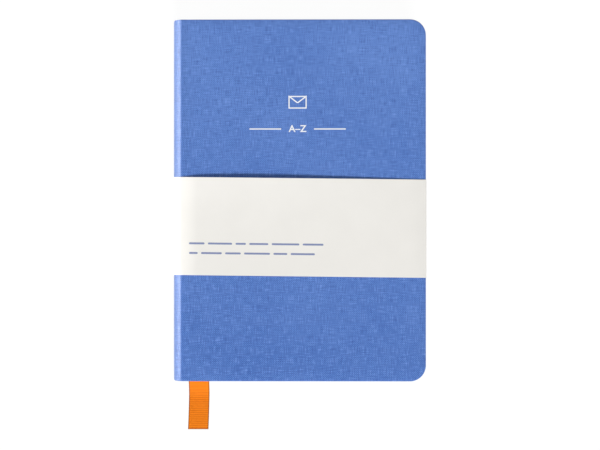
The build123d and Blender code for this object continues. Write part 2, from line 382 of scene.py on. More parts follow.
class Recipe:
    """The node tree of a material or of the world, built one node at a time."""

    def __init__(self, owner: Material | bpy.types.World) -> None:
        """Start from the nodes that a new tree has.

        Args:
            owner: The new material or world.
        """
        owner.use_nodes = True
        self.owner = owner
        self.tree = owner.node_tree

    @property
    def shader(self) -> bpy.types.Node:
        """The material's surface shader."""
        return self.tree.nodes["Principled BSDF"]

    def put(self, socket: bpy.types.NodeSocket, value: object) -> None:
        """Link or set an input.

        Args:
            socket: The input.
            value: An output to link, or a value to set.
        """
        if isinstance(value, bpy.types.NodeSocket):
            self.tree.links.new(value, socket)
        else:
            socket.default_value = value

    def node(self, kind: str, inputs: dict | None = None, **settings: object) -> bpy.types.Node:
        """Add a node.

        Args:
            kind: The node's type, without its usual prefix.
            inputs: Values or outputs for its inputs, by name or number.
            settings: The node's own settings.

        Returns:
            The new node.
        """
        made = self.tree.nodes.new("ShaderNode" + kind)
        for name, value in settings.items():
            setattr(made, name, value)
        for key, value in (inputs or {}).items():
            self.put(made.inputs[key], value)
        return made

    def math(self, operation: str, *values: object) -> bpy.types.NodeSocket:
        """A math node's output, from numbers or outputs."""
        return self.node("Math", dict(enumerate(values)), operation=operation).outputs[0]

    def uv(self) -> tuple[bpy.types.NodeSocket, bpy.types.NodeSocket]:
        """Read the piece's own UV map.

        Returns:
            Its two coordinates, in metres.
        """
        flat = self.node("UVMap", uv_map=UV_NAME)
        parts = self.node("SeparateXYZ", {0: flat.outputs["UV"]})
        return parts.outputs["X"], parts.outputs["Y"]

    def stretched(self, u: object, v: object, grain: Span, detail: float = 2.0) -> object:
        """Noise drawn out along a direction of the sheet.

        Args:
            u: The first coordinate.
            v: The second coordinate.
            grain: The noise's size along each of them.
            detail: The noise's detail.

        Returns:
            The noise, about 0.5.
        """
        wide = self.math("MULTIPLY", u, 1 / grain[0])
        tall = self.math("MULTIPLY", v, 1 / grain[1])
        at = self.node("CombineXYZ", {"X": wide, "Y": tall})
        noise = self.node("TexNoise", {"Vector": at.outputs[0], "Scale": 1.0, "Detail": detail})
        return noise.outputs["Fac"]

    def noise(self, at: object, grain: float, detail: float = 3.0) -> object:
        """Noise of one size all ways, about 0.5. Its grain is in metres."""
        made = self.node("TexNoise", {"Vector": at, "Scale": 1 / grain, "Detail": detail})
        return made.outputs["Fac"]

    def ridges(self, place: object, pitch: float) -> object:
        """Rounded ridges from 0 to 1, a pitch apart along a coordinate."""
        return self.math("ABSOLUTE", self.math("SINE", self.math("MULTIPLY", place, math.pi / pitch)))

    def ramp(self, amount: object, low: float, high: float) -> object:
        """A number from 0 to 1 as an amount goes from one value to the other."""
        inputs = {"Value": amount, "From Min": low, "From Max": high}
        return self.node("MapRange", inputs, clamp=True).outputs["Result"]

    def mix(self, amount: object, first: object, second: object) -> object:
        """A colour between two.

        Args:
            amount: 0 for the first, 1 for the second.
            first: A colour or output.
            second: A colour or output.

        Returns:
            The colour.
        """
        made = self.node("Mix", data_type="RGBA")
        for key, value in ((0, amount), (6, first), (7, second)):
            self.put(made.inputs[key], (*value, 1.0) if isinstance(value, tuple) else value)
        return made.outputs[2]

    def seen(self) -> object:
        """Tell the camera's own view of a thing from the light that it gives.

        Returns:
            1 for rays that see it straight, mirrored or through glass, and 0 for the others.
        """
        ray = self.node("LightPath").outputs
        direct = self.math("MAXIMUM", ray["Is Camera Ray"], ray["Is Glossy Ray"])
        return self.math("MAXIMUM", direct, ray["Is Transmission Ray"])

    def bump(self, height: object, strength: float, depth: float) -> None:
        """Roughen the surface by a height from 0 to 1, with its real depth."""
        made = self.node("Bump", {"Height": height, "Strength": strength, "Distance": depth})
        self.put(self.shader.inputs["Normal"], made.outputs["Normal"])

    def coat(self, colour: object, roughness: object, specular: float) -> None:
        """Give the shader its colour and plain gloss.

        Args:
            colour: The surface's colour.
            roughness: The surface's roughness, a number or output.
            specular: The surface's specular level.
        """
        self.put(self.shader.inputs["Base Color"], colour)
        self.put(self.shader.inputs["Roughness"], roughness)
        self.shader.inputs["Specular IOR Level"].default_value = specular


@dataclass(frozen=True)
class Linen:
    """Blue book cloth: a fine plain weave with uneven threads, with painted light making it paler towards the
    head.
    """

    warp: Colour = (0.033, 0.128, 0.455)
    weft: Colour = (0.083, 0.237, 0.685)
    gap: Colour = (0.017, 0.070, 0.335)
    slub: Colour = (0.170, 0.324, 0.770)
    pitch: float = 0.62 * MM
    wander: float = 0.7
    dip: float = 0.35
    gap_span: Span = (0.0, 0.7)
    slub_grain: Span = (0.45 * MM, 6.0 * MM)
    slub_span: Span = (1.05, 1.35)
    thin_span: Span = (0.95, 0.55)
    mottle_grain: float = 55.0 * MM
    mottle_span: Span = (0.35, 0.7)
    mottle_share: float = 0.22
    # Painted light: how far and how strongly the cloth is painted paler towards the head, in place of a haze of
    # light there.
    head_haze_reach: float = 105.0 * MM
    head_haze_share: float = 0.30
    weave_depth: float = 0.12 * MM
    weave_bump: float = 0.35
    slub_bump: float = 0.8
    roughness: float = 0.8
    handled_roughness: float = 0.36
    handled_edge: float = 0.5 * MM
    specular: float = 0.75
    sheen: float = 0.3
    sheen_roughness: float = 0.45
    sheen_tint: Colour = (0.95, 0.97, 1.0)

    def count(self, r: Recipe, place: object, uneven: object) -> object:
        """Count threads along one direction, spread unevenly by a noise."""
        return r.math("MULTIPLY_ADD", place, 1 / self.pitch, r.math("MULTIPLY", uneven, self.wander))

    def build(self) -> Material:
        """Make the material.

        Returns:
            The material.
        """
        r = Recipe(bpy.data.materials.new("cover_linen"))
        u, v = r.uv()
        upright = r.stretched(u, v, self.slub_grain)
        level = r.stretched(u, v, self.slub_grain[::-1])
        across, along = self.count(r, u, upright), self.count(r, v, level)
        cell = r.node("CombineXYZ", {"X": across, "Y": along, "Z": 0.5})
        over = r.node("TexChecker", {"Vector": cell.outputs[0], "Scale": 1.0}).outputs["Fac"]
        warp, weft = r.ridges(across, 1.0), r.ridges(along, 1.0)
        warp_over = r.math("MULTIPLY", warp, r.math("POWER", weft, self.dip))
        weft_over = r.math("MULTIPLY", weft, r.math("POWER", warp, self.dip))
        height = r.node("Mix", {0: over, 2: warp_over, 3: weft_over}, data_type="FLOAT").outputs[0]
        uneven = r.math("ADD", upright, level)
        threads = r.mix(over, self.warp, self.weft)
        cloth = r.mix(r.ramp(height, *self.gap_span), self.gap, threads)
        flat = r.node("CombineXYZ", {"X": u, "Y": v})
        cloudy = r.ramp(r.noise(flat.outputs[0], self.mottle_grain), *self.mottle_span)
        # Painted light: a paler haze painted on towards the head, added to the cloth's random mottle.
        painted_head_haze = r.math("MULTIPLY", r.ramp(v, -self.head_haze_reach, self.head_haze_reach), self.head_haze_share)
        cloth = r.mix(r.math("MULTIPLY_ADD", cloudy, self.mottle_share, painted_head_haze), cloth, self.slub)
        cloth = r.mix(r.ramp(uneven, *self.slub_span), cloth, self.slub)
        cloth = r.mix(r.ramp(uneven, *self.thin_span), cloth, self.gap)
        handled = r.ramp(u, self.handled_edge, -self.handled_edge)
        smoother = self.handled_roughness - self.roughness
        r.coat(cloth, r.math("MULTIPLY_ADD", handled, smoother, self.roughness), self.specular)
        r.shader.inputs["Sheen Weight"].default_value = self.sheen
        r.shader.inputs["Sheen Roughness"].default_value = self.sheen_roughness
        r.shader.inputs["Sheen Tint"].default_value = (*self.sheen_tint, 1.0)
        relief = r.math("ADD", height, r.math("MULTIPLY", uneven, self.slub_bump))
        r.bump(relief, self.weave_bump, self.weave_depth)
        return r.owner


@dataclass(frozen=True)
class Paper:
    """Uncoated paper, plain or ruled, on the sheet's own flat coordinates."""

    name: str
    colour: Colour
    shade: Colour
    fibre: Colour
    fibre_grain: Span = (0.5 * MM, 2.6 * MM)
    fibre_span: Span = (0.66, 0.8)
    fibre_share: float = 0.25
    mottle_grain: float = 22.0 * MM
    mottle_span: Span = (0.35, 0.7)
    mottle_bump: float = 0.5
    tooth_grain: float = 0.35 * MM
    tooth_depth: float = 0.05 * MM
    tooth_bump: float = 0.12
    detail: float = 4.0
    roughness: float = 0.78
    specular: float = 0.25
    rule_pitch: float = 0.0
    rule_width: float = 0.35 * MM
    rule_share: float = 0.6
    rule: Colour = (0.42, 0.52, 0.72)
    margin: tuple[float, float, float] = (14.0 * MM, 122.0 * MM, 92.0 * MM)

    def build(self) -> Material:
        """Make the material.

        Returns:
            The material.
        """
        r = Recipe(bpy.data.materials.new(self.name))
        u, v = r.uv()
        flat = r.node("CombineXYZ", {"X": u, "Y": v}).outputs[0]
        cloudy = r.ramp(r.noise(flat, self.mottle_grain), *self.mottle_span)
        colour = r.mix(cloudy, self.colour, self.shade)
        fibres = r.stretched(u, v, self.fibre_grain, self.detail)
        flecks = r.math("MULTIPLY", r.ramp(fibres, *self.fibre_span), self.fibre_share)
        colour = r.mix(flecks, colour, self.fibre)
        if self.rule_pitch:
            step = r.math("FRACT", r.math("MULTIPLY", v, 1 / self.rule_pitch))
            line = r.math("LESS_THAN", step, self.rule_width / self.rule_pitch)
            inside = r.math("GREATER_THAN", u, self.margin[0])
            inside = r.math("MULTIPLY", inside, r.math("LESS_THAN", u, self.margin[1]))
            short = r.math("LESS_THAN", r.math("ABSOLUTE", v), self.margin[2])
            drawn = r.math("MULTIPLY", line, r.math("MULTIPLY", inside, short))
            colour = r.mix(r.math("MULTIPLY", drawn, self.rule_share), colour, self.rule)
        r.coat(colour, self.roughness, self.specular)
        tooth = r.noise(flat, self.tooth_grain, self.detail)
        relief = r.math("ADD", tooth, r.math("MULTIPLY", cloudy, self.mottle_bump))
        r.bump(relief, self.tooth_bump, self.tooth_depth)
        return r.owner


@dataclass(frozen=True)
class RibbonWeave:
    """Orange ribbed ribbon, darker along its long edges and cut end, with painted shade in its rib grooves."""

    width: float
    length: float
    pitch: float
    crest: Colour = (0.96, 0.250, 0.010)
    # Painted shade: a darker copy of the crest colour, used in the rib grooves.
    groove_shade: Colour = (0.70, 0.146, 0.003)
    # The colour that the ribbon darkens to along its long edges and its cut end.
    dark_edge: Colour = (0.30, 0.078, 0.010)
    dark_edge_width: float = 0.7 * MM
    dark_edge_core: float = 0.3
    yarn_pitch: float = 0.3 * MM
    yarn_bump: float = 0.25
    uneven_grain: Span = (5.0 * MM, 0.6 * MM)
    uneven_share: float = 0.6
    tone_span: Span = (0.1, 0.85)
    roughness: float = 0.7
    specular: float = 0.12
    rib_bump: float = 0.4
    rib_depth: float = 0.12 * MM

    def build(self) -> Material:
        """Make the material.

        Returns:
            The material.
        """
        r = Recipe(bpy.data.materials.new("ribbon_weave"))
        u, v = r.uv()
        # Painted shade: the colour follows the rib ridges and is darker in the grooves, with a random tone on top.
        rib, yarn = r.ridges(v, self.pitch), r.ridges(u, self.yarn_pitch)
        uneven = r.math("SUBTRACT", r.stretched(u, v, self.uneven_grain), 0.5)
        rib_shade_and_tone = r.math("ADD", rib, r.math("MULTIPLY", uneven, self.uneven_share))
        colour = r.mix(r.ramp(rib_shade_and_tone, *self.tone_span), self.groove_shade, self.crest)
        # Darker towards both long edges and the cut end.
        half, core = self.width / 2, self.dark_edge_core * self.dark_edge_width
        edge = r.math("ABSOLUTE", r.math("SUBTRACT", u, half))
        edge = r.ramp(edge, half - self.dark_edge_width, half - core)
        end = r.ramp(v, self.length - self.dark_edge_width, self.length - core)
        colour = r.mix(r.math("MAXIMUM", edge, end), colour, self.dark_edge)
        r.coat(colour, self.roughness, self.specular)
        relief = r.math("ADD", rib, r.math("MULTIPLY", yarn, self.yarn_bump))
        r.bump(relief, self.rib_bump, self.rib_depth)
        return r.owner


class Grain(Enum):
    """How a plain inner material is textured."""

    FLECKED = "flecked"
    NET = "net"
    STRIPED = "striped"


@dataclass(frozen=True)
class InnerStuff:
    """Board, gauze, thread, woven bands, foil and ink, on Object coordinates."""

    name: str
    colour: Colour
    second: Colour
    grain: Grain = Grain.FLECKED
    size: float = 0.6 * MM
    detail: float = 4.0
    fleck_span: Span = (0.45, 0.7)
    line_span: Span = (0.55, 0.8)
    roughness: float = 0.8
    specular: float = 0.25
    relief_bump: float = 0.25
    relief_depth: float = 0.1 * MM

    def build(self) -> Material:
        """Make the material.

        Returns:
            The material.
        """
        r = Recipe(bpy.data.materials.new(self.name))
        at = r.node("TexCoord").outputs["Object"]
        pattern = r.ramp(r.noise(at, self.size, self.detail), *self.fleck_span)
        if self.grain is not Grain.FLECKED:
            parts = r.node("SeparateXYZ", {0: at}).outputs
            along, up = r.ridges(parts["Y"], self.size), r.ridges(parts["Z"], self.size)
            drawn = up if self.grain is Grain.STRIPED else r.math("MAXIMUM", along, up)
            pattern = r.ramp(drawn, *self.line_span)
        r.coat(r.mix(pattern, self.colour, self.second), self.roughness, self.specular)
        r.bump(pattern, self.relief_bump, self.relief_depth)
        return r.owner


@dataclass(frozen=True)
class Book:
    """Places on the closed book, read from the frame."""

    joint_x: float
    board_x: float
    fore_edge: float
    head: float
    front_face: float
    turn_in_face: float
    cloth: float
    back_face: float
    spine_left: float
    gutter_x: float
    leaf_left: float
    leaf_fore_edge: float
    leaf_head: float
    corner_radius: float = 9.3 * MM

    @classmethod
    def read(cls) -> "Book":
        """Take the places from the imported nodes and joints.

        Returns:
            The book.
        """
        cover_low, cover_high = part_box("front_cover_cloth")
        board_low, board_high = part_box("front_board")
        leaf_low, leaf_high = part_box("section_yz")
        gutter = next(j for j in frame["joints"] if j["name"] == "section_yz_turn")
        return cls(
            joint_x=cover_low.x,
            board_x=board_low.x,
            fore_edge=cover_high.x,
            head=cover_high.y,
            front_face=cover_high.z,
            turn_in_face=cover_low.z,
            cloth=cover_high.z - board_high.z,
            back_face=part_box("back_cover_cloth")[0].z,
            spine_left=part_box("spine_cloth")[0].x,
            gutter_x=gutter["pos_m"][0],
            leaf_left=leaf_low.x,
            leaf_fore_edge=leaf_high.x,
            leaf_head=leaf_high.y,
        )

    @property
    def middle(self) -> float:
        """The height of the book's middle."""
        return (self.front_face + self.back_face) / 2

    @property
    def half(self) -> float:
        """Half the case's height."""
        return (self.front_face - self.back_face) / 2

    @property
    def spine_radius(self) -> float:
        """The radius of the rounded spine, from its chord and bulge."""
        bulge = self.joint_x - self.spine_left
        return (self.half**2 + bulge**2) / (2 * bulge)

    @property
    def arc_x(self) -> float:
        """Where the spine's axis is."""
        return self.spine_left + self.spine_radius

    @property
    def leaf_corner(self) -> float:
        """The leaves' corner radius, concentric with the covers'."""
        return self.corner_radius - (self.head - self.leaf_head)

    @property
    def spine_angle(self) -> float:
        """The angle of the spine's arc from the joint to its middle."""
        return math.asin(self.half / self.spine_radius)

    def around_spine(self, point: Vector) -> float:
        """How far a point lies round the spine from the joint, less than 0 on the spine."""
        angle = math.atan2(point.z - self.middle, self.arc_x - point.x)
        return (angle - self.spine_angle) * self.spine_radius

    def roll(self, steps: int, angle: float) -> None:
        """Roll the selected end of a strip round to the spine's middle, in edit mode."""
        bpy.ops.mesh.spin(steps=steps, angle=angle, center=(self.arc_x, 0, self.middle), axis=(0, 1, 0))
        bpy.ops.transform.resize(value=(1, 1, 0), center_override=(0, 0, self.middle))


@dataclass
class CaseCloth:
    """The cloth over both covers and the spine, in two halves that meet along the spine's middle."""

    book: Book
    finish: Material
    rim_radius: float = 0.55 * MM
    rim_steps: int = 4
    edge_ease: float = 5.0 * MM
    corner_steps: int = 14
    spine_steps: int = 18
    joint_steps: int = 3
    turn_in: float = 8.0 * MM
    board_turn_in: float = 14.0 * MM
    cut_over: float = 0.2 * MM
    cut_under: float = 0.02 * MM
    layer_slack: float = 0.03 * MM
    card_depth: float = 0.94 * MM
    card_gap: float = 1.1 * MM
    spine_corner: float = 1.0 * MM
    crisp_angle: float = 40.0
    bend: Span = (0.6 * MM, 1.2 * MM)

    def flatten(self, point: Vector) -> Span:
        """Where a point lies on the unrolled cloth.

        Args:
            point: A point on the cloth.

        Returns:
            Its distance from the joint and its place along the spine.
        """
        b = self.book
        down = b.front_face - point.z
        if point.x < b.joint_x:
            depth = b.spine_radius - math.hypot(point.x - b.arc_x, point.z - b.middle)
            at_end = abs(point.y) > b.head - self.turn_in - NEAR
            turned = math.copysign(depth, point.y) if at_end else 0.0
            return b.around_spine(point), point.y + turned
        over_edge = down if point.x > b.fore_edge - self.rim_radius else 0.0
        over_end = math.copysign(down, point.y) if abs(point.y) > b.head - self.rim_radius else 0.0
        return point.x - b.joint_x + over_edge, point.y + over_end

    def round_fore_edge(self, plate: Piece, x: float, radius: float) -> None:
        """Round a plate's two upright corners at a place across the cover, in edit mode."""
        Bench.pick(plate, Kind.EDGE, lambda p: not is_level(p) and min(q.x for q in p) > x - NEAR)
        Bench.bevel(radius, self.corner_steps)

    def board_wrap(self) -> Piece:
        """Model the cloth round the front board: round corners, rolled rims.

        Returns:
            The piece, with a strip of bare cloth out to the joint.
        """
        b = self.book
        low, high = (b.board_x, -b.head, b.turn_in_face), (b.fore_edge, b.head, b.front_face)
        cloth = Bench.plate("front_case_cloth", low, high)
        with Bench.shaping(cloth):
            self.round_fore_edge(cloth, b.fore_edge, b.corner_radius)
            Bench.pick(cloth, Kind.EDGE, lambda p: is_level(p) and max(q.x for q in p) > b.board_x + NEAR)
            Bench.bevel(self.rim_radius, self.rim_steps)
            Bench.pick(cloth, Kind.FACE, lambda p: min(q.z for q in p) > b.front_face - NEAR)
            bpy.ops.mesh.inset(thickness=self.edge_ease)
            inner = b.front_face - b.cloth
            Bench.cut(cloth, Axis.Z, [inner], lambda p: max(q.x for q in p) < b.board_x + NEAR)
            left = b.board_x + NEAR
            Bench.pick(cloth, Kind.FACE, lambda p: all(q.x < left and q.z > inner - NEAR for q in p))
            for _ in range(self.joint_steps):
                Bench.extrude(((b.joint_x - b.board_x) / self.joint_steps, 0, 0))
        return cloth

    def spine_wrap(self, cloth: Piece) -> None:
        """Carry the joint strip round to the middle of the spine and turn its ends in over the card.

        Args:
            cloth: The cloth round the front board.
        """
        b = self.book
        rim = b.head - b.cloth
        radius = math.hypot(b.joint_x - b.arc_x, b.half - b.cloth)
        layers = (radius, radius - self.card_depth, radius - self.card_depth - b.cloth)

        def reach(point: Vector) -> float:
            """A point's distance from the spine's axis."""
            return math.hypot(point.x - b.arc_x, point.z - b.middle)

        def on_layer(points: Points, layer: float) -> bool:
            """Test whether a face of an end strip lies that far from the axis.

            Args:
                points: The face's points.
                layer: The distance.

            Returns:
                Whether it does.
            """
            along = [abs(q.y) for q in points]
            ends = min(along) > rim - NEAR and max(along) > rim + NEAR
            card = max(q.z - b.middle for q in points) < b.half - self.card_gap
            return ends and card and max(abs(reach(q) - layer) for q in points) < self.layer_slack

        def faces_inward(points: Points, end: int) -> bool:
            """Whether a face of the turned end looks along the spine."""
            level = max(abs(end * q.y - rim) for q in points) < NEAR
            return level and max(reach(q) for q in points) < layers[1] + NEAR

        with Bench.shaping(cloth):
            Bench.pick(cloth, Kind.FACE, lambda p: max(q.x for q in p) < b.joint_x + NEAR)
            b.roll(self.spine_steps, b.spine_angle)
            Bench.cut(cloth, Axis.Y, (-rim, rim), lambda p: max(q.x for q in p) < b.joint_x + NEAR)
            Bench.pick(cloth, Kind.FACE, lambda p: on_layer(p, layers[0]))
            for outer, inner in zip(layers, layers[1:]):
                bpy.ops.mesh.extrude_region()
                shrink = (inner / outer, 1, inner / outer)
                bpy.ops.transform.resize(value=shrink, center_override=(b.arc_x, 0, b.middle))
            for end in (-1, 1):
                Bench.pick(cloth, Kind.FACE, lambda p: faces_inward(p, end))
                Bench.extrude((0, end * (b.cloth - self.turn_in), 0))

    def hollow(self, cloth: Piece) -> None:
        """Take the board's place out of the cloth, and the window that the turn-ins leave open inside.

        Args:
            cloth: The cloth with its spine, closed.
        """
        b = self.book
        low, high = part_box("front_board")
        left = b.board_x - self.cut_over
        top = high.z - self.cut_under
        place = Bench.plate("board_place", (left, low.y, low.z), (high.x, high.y, top))
        with Bench.shaping(place):
            self.round_fore_edge(place, high.x, b.corner_radius - (b.fore_edge - high.x))
        end = b.head - self.board_turn_in
        window = Bench.plate(
            "turn_in_window",
            (left, -end, b.turn_in_face - self.cut_over),
            (b.fore_edge - self.board_turn_in, end, low.z + self.cut_over),
        )
        for cutter in (place, window):
            Bench.apply(cloth, "BOOLEAN", object=cutter, operation="DIFFERENCE", solver="EXACT")
            bpy.data.objects.remove(cutter)

    def round_spine_ends(self, cloth: Piece) -> None:
        """Round the spine's corners, seen from above.

        Args:
            cloth: The cloth with its spine.
        """
        b = self.book
        for point in cloth.data.vertices:
            inset = self.spine_corner - (point.co.x - b.spine_left)
            if inset > 0 and abs(point.co.y) > b.head - self.turn_in / 2:
                dip = self.spine_corner - math.sqrt(self.spine_corner**2 - inset**2)
                point.co.y -= math.copysign(dip, point.co.y)

    def build(self) -> dict[Side, Piece]:
        """Model both halves.

        Returns:
            The halves, by cover.
        """
        cloth = self.board_wrap()
        self.spine_wrap(cloth)
        with Bench.shaping(cloth):
            Bench.face_out(cloth)
        self.hollow(cloth)
        with Bench.shaping(cloth):
            Bench.face_out(cloth)
        Bench.lay_uv(cloth, self.flatten)
        self.round_spine_ends(cloth)
        Bench.smooth(cloth, self.crisp_angle)
        twin = Bench.mirrored(cloth, "back_case_cloth", self.book.middle)
        return {Side.FRONT: cloth, Side.BACK: twin}

    def dress(self, halves: dict[Side, Piece]) -> None:
        """Give the halves their finish, hide the frame's cloth nodes and bake their places.

        Args:
            halves: The halves, by cover.
        """
        b = self.book
        for side, cloth in halves.items():
            cloth.data.materials.append(self.finish)
            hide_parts(f"{side.value}_cover_cloth", "spine_cloth")
            start, end = (b.joint_x - self.bend[0], 0, b.middle), (b.joint_x + self.bend[1], 0, b.middle)
            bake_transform(cloth)
            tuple(start)
            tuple(end)


@dataclass
class WrapBand:
    """The paper band: over the spine and covers, round the fore-edges and into the covers."""

    book: Book
    finish: Material
    fold_radius: float = 0.55 * MM
    fold_steps: int = 5
    spine_steps: int = 16
    lift_head: float = 1.95 * MM
    lift_tail: float = 0.3 * MM
    lift_power: int = 3
    slack_bias: float = 0.55
    skew: float = 0.011
    panel_cuts: int = 14
    height_cuts: int = 7
    bend: float = 0.6 * MM
    low: Vector = field(default_factory=lambda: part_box("wrap_front_panel")[0])
    high: Vector = field(default_factory=lambda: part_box("wrap_front_panel")[1])

    def lift(self, x: float, y: float) -> float:
        """How far the band stands off the cover at a place.

        Args:
            x: The place across the cover.
            y: The place along the spine.

        Returns:
            The height, most along the band's long edges.
        """
        across = (x - self.book.joint_x) / (self.high.x - self.book.joint_x)
        up = (y - self.low.y) / (self.high.y - self.low.y)
        slack = math.sin(math.pi * clamp(across) ** self.slack_bias)
        head, tail = up**self.lift_power, (1 - up) ** self.lift_power
        return slack * (self.lift_head * head + self.lift_tail * tail)

    def flatten(self, point: Vector) -> Span:
        """Where a point lies on the flat strip of paper.

        Args:
            point: A point on the band.

        Returns:
            Its place along the strip and across it.
        """
        b = self.book
        if point.x < b.joint_x:
            return b.around_spine(point), point.y
        if point.z > self.low.z - NEAR:
            return point.x - b.joint_x, point.y
        around = self.high.x - b.joint_x + self.high.z - point.z
        return around + self.high.x - point.x, point.y

    def build(self) -> dict[Side, Piece]:
        """Model both halves of the band.

        Returns:
            The halves, by cover.
        """
        b = self.book
        flap_low, flap_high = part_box("wrap_front_flap")
        outer = b.spine_radius + self.high.z - b.front_face
        rise = self.high.z - b.middle
        crease_x = b.arc_x - math.sqrt(outer**2 - rise**2)
        band = Bench.plate("front_wrap", (crease_x, self.low.y, self.low.z), self.high)
        with Bench.shaping(band):
            Bench.pick(band, Kind.FACE, lambda p: min(q.x for q in p) > self.high.x - NEAR)
            self.fold(self.high.z - self.fold_radius)
            Bench.extrude((0, 0, flap_low.z - self.high.z + 2 * self.fold_radius))
            self.fold(flap_low.z + self.fold_radius)
            Bench.extrude((flap_low.x - flap_high.x, 0, 0))
            Bench.pick(band, Kind.FACE, lambda p: max(q.x for q in p) < crease_x + NEAR)
            b.roll(self.spine_steps, math.asin(rise / outer))
            across = (self.high.x - crease_x) / (self.panel_cuts + 1)
            along = (self.high.y - self.low.y) / (self.height_cuts + 1)
            Bench.cut(band, Axis.X, [crease_x + across * (i + 1) for i in range(self.panel_cuts)])
            Bench.cut(band, Axis.Y, [self.low.y + along * (i + 1) for i in range(self.height_cuts)])
            Bench.face_out(band)
        Bench.lay_uv(band, self.flatten)
        Bench.smooth(band)
        twin = Bench.mirrored(band, "back_wrap", b.middle)
        for point in band.data.vertices:
            if point.co.z > self.low.z - NEAR:
                point.co.z += self.lift(point.co.x, point.co.y)
        for point in (*band.data.vertices, *twin.data.vertices):
            point.co.y -= self.skew * point.co.x
        return {Side.FRONT: band, Side.BACK: twin}

    def fold(self, level: float) -> None:
        """Fold the selected end a quarter turn round the fore-edge, about an axis at a level."""
        centre = (self.high.x, 0, level)
        bpy.ops.mesh.spin(steps=self.fold_steps, angle=-math.pi / 2, center=centre, axis=(0, 1, 0))

    def dress(self, halves: dict[Side, Piece]) -> None:
        """Give the halves their finish, hide the frame's band nodes and bake their places.

        Args:
            halves: The halves, by cover.
        """
        x = self.book.joint_x
        for side, band in halves.items():
            band.data.materials.append(self.finish)
            parts = [f"wrap_{side.value}_{part}" for part in ("panel", "turn", "flap")]
            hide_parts("wrap_spine", *parts)
            start, end = (x - self.bend, 0, 0), (x + self.bend, 0, 0)
            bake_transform(band)
            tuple(start)
            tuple(end)


